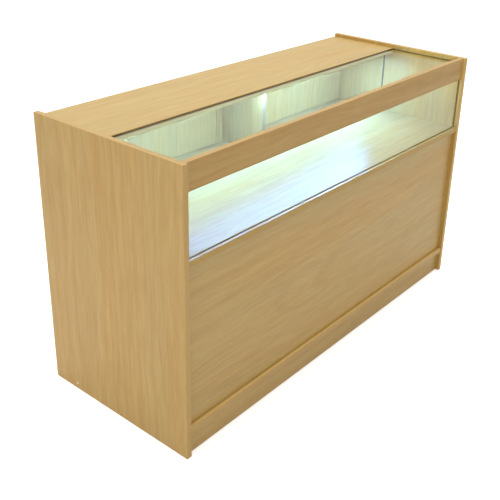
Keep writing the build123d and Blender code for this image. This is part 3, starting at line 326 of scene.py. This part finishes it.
def turned(name, colour, rough, centre, axis="y"):
    """Turned metal: fine rings round the piece's own axis."""
    t = Tree(name)
    c = t.coord()
    p = t.split(c)
    i = AX.index(axis)
    o = [k for k in range(3) if k != i]
    dx, dz = t.sub(t.math("ABSOLUTE", p[o[0]]), abs(centre[0])), t.sub(p[o[1]], centre[1])
    radius = t.math("SQRT", t.add(t.mul(dx, dx), t.mul(dz, dz)))
    rings = t.noise(t.vec(t.mul(radius, 5200.0), t.mul(p[i], 5200.0), 0.3), 1.0, 2.0, 0.5)
    cloud = t.noise(c, 120.0, 3.0, 0.6)
    col = t.scale_colour(t.mix(cloud, colour, tuple(x * 0.92 for x in colour)), t.step(rings, 0.2, 0.8, 0.96, 1.03, False))
    r = t.add(rough, t.add(t.mul(t.sub(rings, 0.5), 0.12), t.mul(t.sub(cloud, 0.5), 0.10)))
    return t.surface(col, r, 1.0, t.bump(rings, 0.000012, 0.8))


zinc = metal("bright_zinc", (0.70, 0.71, 0.72), 0.34, 0.20, tint=(0.64, 0.66, 0.60))
casting = metal("zinc_casting", (0.47, 0.48, 0.49), 0.52, 0.16, bump=0.00005, speck=0.18)
for name in ("cam_bolts", "plinth_screws", "shelf_pins", "hinge_pins", "board_screws", "left_flap_screws", "right_flap_screws",
             "left_lock_nut", "right_lock_nut", "left_lock_cam", "right_lock_cam"):
    give(name, zinc)
give("cam_locks", casting)
nickel = metal("nickel_plate", (0.66, 0.645, 0.61), 0.27, 0.14, grain="x", bump=0.000012)
for name in ("hinge_fixed_leaves", "left_hinge_leaf", "right_hinge_leaf", "strike_plates", "lamp_clips"):
    give(name, nickel)
for side in ("left", "right"):
    give(side + "_flap_knob", turned("satin_nickel_" + side, (0.69, 0.67, 0.63), 0.30, (0.386, 0.790)))
    give(side + "_lock_barrel", turned("chrome_barrel_" + side, (0.80, 0.80, 0.81), 0.10, (0.386, 0.845)))
    give(side + "_lock_plug", turned("chrome_plug_" + side, (0.76, 0.75, 0.72), 0.16, (0.386, 0.845)))
key = metal("nickel_silver", (0.70, 0.68, 0.62), 0.24, 0.16, grain="y", bump=0.000015)
give("left_key", key)
give("right_key", key)
give("lamp_channel", metal("anodised_channel", (0.76, 0.72, 0.44), 0.42, 0.10, grain="x", bump=0.00001))


# ---------------------------------------------------------------- plastics, rubber, board
def plastic(name, colour, rough=0.45, texture=900.0, bump=0.00003, mottle=0.04, **more):
    """Moulded plastic: a fine spark-eroded texture and a faint flow mottle."""
    t = Tree(name)
    c = t.coord()
    fine = t.noise(c, texture, 3.0, 0.65)
    flow = t.noise(c, 22.0, 3.0, 0.55, 0.6)
    col = t.scale_colour(t.mix(t.mul(flow, 0.5), colour, tuple(min(x * 0.93 + 0.004, 1.0) for x in colour)),
                         t.mul(t.step(t.island(), 0.0, 1.0, 1.0 - mottle / 2, 1.0 + mottle / 2, False), t.step(fine, 0.25, 0.75, 1.0 - mottle, 1.0 + mottle / 2, False)))
    r = t.add(rough, t.add(t.mul(t.sub(fine, 0.5), 0.18), t.mul(t.sub(flow, 0.5), 0.10)))
    return t.surface(col, r, 0.0, t.bump(fine, bump, 0.8), **more)


white = plastic("white_moulding", (0.80, 0.80, 0.77), 0.42)
black = plastic("black_moulding", (0.022, 0.022, 0.024), 0.40)
for name in ("lamp_end_caps", "cable_clips", "driver_case", "driver_base"):
    give(name, white)
for name in ("switch_frame", "switch_rocker", "mains_inlet"):
    give(name, black)
give("cover_caps", plastic("beige_cap", (0.74, 0.63, 0.42), 0.40))
give("cable_grommet", plastic("grey_grommet", (0.16, 0.165, 0.165), 0.62))
give("flap_bumpers", plastic("clear_bumper", (0.70, 0.71, 0.70), 0.30, 400.0, 0.00001, 0.02, Subsurface_Weight=0.3, Subsurface_Scale=0.002))


def cable(name, colour):
    """Matt PVC sheath with faint extrusion marks."""
    t = Tree(name)
    c = t.coord()
    fine = t.noise(c, 1600.0, 2.0, 0.5)
    slow = t.noise(c, 60.0, 2.0, 0.5)
    col = t.scale_colour(t.mix(slow, colour, tuple(x * 0.85 for x in colour)), t.step(fine, 0.2, 0.8, 0.96, 1.03, False))
    return t.surface(col, t.step(slow, 0.3, 0.7, 0.60, 0.72, False), 0.0, t.bump(t.add(fine, t.mul(slow, 3.0)), 0.00004, 0.6),
                     Specular_IOR_Level=0.15)


give("lamp_cable", cable("grey_sheath", (0.036, 0.034, 0.024)))

t = Tree("beech_dowel")  # fluted beech pins
p = t.split(t.coord())
fibre = t.noise(t.vec(t.mul(p[0], 420.0), t.mul(p[1], 900.0), t.mul(p[2], 900.0)), 1.0, 3.0, 0.6)
col = t.mix(fibre, (0.62, 0.42, 0.22), (0.50, 0.31, 0.14))
give("wood_dowels", t.surface(t.scale_colour(col, t.step(t.island(), 0.0, 1.0, 0.9, 1.08, False)), t.step(fibre, 0.2, 0.8, 0.6, 0.8, False), 0.0, t.bump(fibre, 0.00005, 0.8)))

t = Tree("opal_diffuser")  # the lit cover of the light
c = t.coord()
p = t.split(c)
lo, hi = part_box("lamp_diffuser")
ends = t.math("MINIMUM", t.sub(p[0], lo[0]), t.sub(hi[0], p[0]))
pitch = t.math("SINE", t.mul(p[0], 2 * math.pi / 0.0203))
LAMP = (0.180, 0.402, 0.97)
LAMP_LEFT, LAMP_MID, LAMP_RIGHT = 202.0, 184.0, 326.0
glow = t.mul(t.mul(t.step(ends, 0.0, 0.10, 0.40, 1.0), t.add(0.985, t.mul(pitch, 0.015))), t.add(t.step(p[0], lo[0], 0.0, LAMP_LEFT, LAMP_MID, False), t.step(p[0], 0.0, hi[0], 0.0, LAMP_RIGHT - LAMP_MID, False)))
fine = t.noise(c, 700.0, 2.0, 0.5)
give("lamp_diffuser", t.surface(t.scale_colour(t.mix(fine, (0.86, 0.88, 0.87), (0.82, 0.85, 0.84)), 1.0), t.step(fine, 0.2, 0.8, 0.35, 0.5, False), 0.0,
                                t.bump(fine, 0.00002, 0.6), Emission_Color=LAMP, Emission_Strength=glow))

t = Tree("lamp_strip")  # white solder mask, yellow phosphor on the chips
c = t.coord()
p = t.split(c)
lo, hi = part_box("lamp_board")
chip = t.step(p[2], lo[2] + 0.0002, lo[2] + 0.0004, 1.0, 0.0)
fine = t.noise(c, 800.0, 2.0, 0.5)
col = t.mix(chip, t.mix(fine, (0.80, 0.80, 0.77), (0.72, 0.73, 0.71)), t.mix(fine, (0.80, 0.62, 0.16), (0.70, 0.50, 0.10)))
give("lamp_board", t.surface(col, t.step(fine, 0.2, 0.8, 0.4, 0.55, False), 0.0, t.bump(fine, 0.00002, 0.6)))

t = Tree("driver_circuit")  # green mask with parts of several kinds standing on it
c = t.coord()
p = t.split(c)
lo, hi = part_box("driver_board")
fine = t.noise(c, 900.0, 3.0, 0.6)
kind = t.island()
traces = t.step(t.cells(t.vec(t.mul(p[0], 1.0), t.mul(p[1], 2.4), 0.0), 260.0, "DISTANCE_TO_EDGE"), 0.03, 0.08, 1.0, 0.0)
mask = t.mix(t.mul(traces, 0.6), t.mix(fine, (0.015, 0.110, 0.045), (0.012, 0.085, 0.035)), (0.040, 0.210, 0.085))
partc = t.ramp(kind, [(0.0, (0.020, 0.020, 0.022)), (0.35, (0.30, 0.16, 0.02)), (0.6, (0.045, 0.05, 0.12)), (0.85, (0.42, 0.42, 0.40))], "CONSTANT")
mid = (lo[2] + hi[2]) / 2
top_side = hi[2] - 0.0018
flat = t.step(p[2], top_side - 0.0001, top_side + 0.0001, 0.0, 1.0)
give("driver_board", t.surface(t.mix(flat, t.mix(fine, partc, t.scale_colour(partc, 0.85)), mask), t.step(fine, 0.2, 0.8, 0.35, 0.5, False), 0.0, t.bump(fine, 0.00003, 0.6)))


# ---------------------------------------------------------------- stage, light, camera
t = Tree("studio_floor")
c = t.coord()
f = t.noise(c, 3.0, 3.0, 0.5)
seen = t.node("ShaderNodeLightPath").outputs["Is Camera Ray"]
floor_mat = t.surface(t.mix(f, (0.93, 0.93, 0.93), (0.95, 0.95, 0.95)), 0.9, Emission_Color=(1.0, 1.0, 1.0), Emission_Strength=t.step(seen, 0.0, 1.0, 0.14, 0.50, False))
mesh = bpy.data.meshes.new("floor")
s = 30.0
mesh.from_pydata([(-s, -s, -0.0006), (s, -s, -0.0006), (s, s, -0.0006), (-s, s, -0.0006)], [], [(0, 1, 2, 3)])
mesh.materials.append(floor_mat)
floor = bpy.data.objects.new("floor", mesh)
scene.collection.objects.link(floor)

world = bpy.data.worlds.new("studio")
scene.world = world
world.use_nodes = True
wn = world.node_tree
wn.nodes.clear()
w_out = wn.nodes.new("ShaderNodeOutputWorld")
w_mix = wn.nodes.new("ShaderNodeMixShader")
w_path = wn.nodes.new("ShaderNodeLightPath")
w_light = wn.nodes.new("ShaderNodeBackground")
w_white = wn.nodes.new("ShaderNodeBackground")
WORLD_EVEN, WORLD_BACK = 0.54, 0.46
w_light.inputs[0].default_value = (1.0, 1.0, 1.0, 1.0)
w_dir = wn.nodes.new("ShaderNodeTexCoord")
w_dot = wn.nodes.new("ShaderNodeVectorMath")
w_dot.operation = "DOT_PRODUCT"
w_dot.inputs[1].default_value = Vector((0.62, 0.62, 0.48)).normalized()
w_pos = wn.nodes.new("ShaderNodeMath")
w_pos.operation = "MAXIMUM"
w_pos.inputs[1].default_value = 0.0
w_pow = wn.nodes.new("ShaderNodeMath")
w_pow.operation = "POWER"
w_pow.inputs[1].default_value = 2.0
w_sum = wn.nodes.new("ShaderNodeMath")
w_sum.operation = "MULTIPLY_ADD"
w_sum.inputs[1].default_value, w_sum.inputs[2].default_value = WORLD_BACK, WORLD_EVEN
wn.links.new(w_dir.outputs["Generated"], w_dot.inputs[0])
wn.links.new(w_dot.outputs["Value"], w_pos.inputs[0])
wn.links.new(w_pos.outputs[0], w_pow.inputs[0])
wn.links.new(w_pow.outputs[0], w_sum.inputs[0])
wn.links.new(w_sum.outputs[0], w_light.inputs[1])
w_white.inputs[0].default_value = (1.0, 1.0, 1.0, 1.0)
w_white.inputs[1].default_value = 1.05
wn.links.new(w_path.outputs["Is Camera Ray"], w_mix.inputs[0])
wn.links.new(w_light.outputs[0], w_mix.inputs[1])
wn.links.new(w_white.outputs[0], w_mix.inputs[2])
wn.links.new(w_mix.outputs[0], w_out.inputs[0])


def softbox(name, place, target, width, height, power, colour=(1.0, 1.0, 1.0)):
    data = bpy.data.lights.new(name, "AREA")
    data.shape = "RECTANGLE"
    data.size, data.size_y = width, height
    data.energy = power
    data.color = colour
    ob = bpy.data.objects.new(name, data)
    scene.collection.objects.link(ob)
    ob.location = place
    ob.rotation_mode = "QUATERNION"
    ob.rotation_quaternion = (Vector(target) - Vector(place)).to_track_quat("-Z", "Y")
    return ob


softbox("top_box", (0.2, 0.6, 4.2), (0.0, 0.0, 0.6), 5.0, 4.0, 128.0)
softbox("left_box", (-4.6, -0.4, 2.2), (0.0, 0.0, 0.5), 3.5, 3.0, 37.0)

# The camera was fitted to the counter's corners. Its picture is a crop, so the lens is shifted; the shift fades out as soon as
# the camera stands anywhere else, so that other views are centred.
camera_data = bpy.data.cameras.new("camera")
camera = bpy.data.objects.new("camera", camera_data)
scene.collection.objects.link(camera)
R = [[0.63205464, -0.77434169, 0.03003144], [-0.29058764, -0.27276142, -0.91714777], [0.71837717, 0.57096074, -0.39741424]]
place = Vector((-1.99485, -1.26370 - 0.2975, 1.60930))
m = Matrix(((R[0][0], -R[1][0], -R[2][0], place.x), (R[0][1], -R[1][1], -R[2][1], place.y), (R[0][2], -R[1][2], -R[2][2], place.z), (0, 0, 0, 1)))
camera.matrix_world = m
camera_data.sensor_fit = "HORIZONTAL"
camera_data.sensor_width = 36.0
camera_data.lens = 792.8796 * 36.0 / 500.0
camera_data.clip_start, camera_data.clip_end = 0.05, 100.0
scene.camera = camera
home = bpy.data.objects.new("camera_home", None)
scene.collection.objects.link(home)
home.location = place
for path, value in (("shift_x", (250.0 - 271.8232) / 500.0), ("shift_y", (189.1596 - 250.0) / 500.0)):
    curve = camera_data.driver_add(path)
    curve.driver.type = "SUM"
    var = curve.driver.variables.new()
    var.name, var.type = "gap", "LOC_DIFF"
    var.targets[0].id, var.targets[1].id = camera, home
    for m_ in list(curve.modifiers):
        curve.modifiers.remove(m_)
    curve.keyframe_points.add(2)
    curve.keyframe_points[0].co = (0.0, value)
    curve.keyframe_points[1].co = (0.02, 0.0)
    for k in curve.keyframe_points:
        k.interpolation = "LINEAR"
    curve.extrapolation = "CONSTANT"

scene.view_settings.view_transform = "Standard"
scene.view_settings.look = "None"
scene.cycles.max_bounces = 12
scene.cycles.diffuse_bounces = 5
scene.cycles.glossy_bounces = 5
scene.cycles.transparent_max_bounces = 24
scene.cycles.sample_clamp_indirect = 6.0
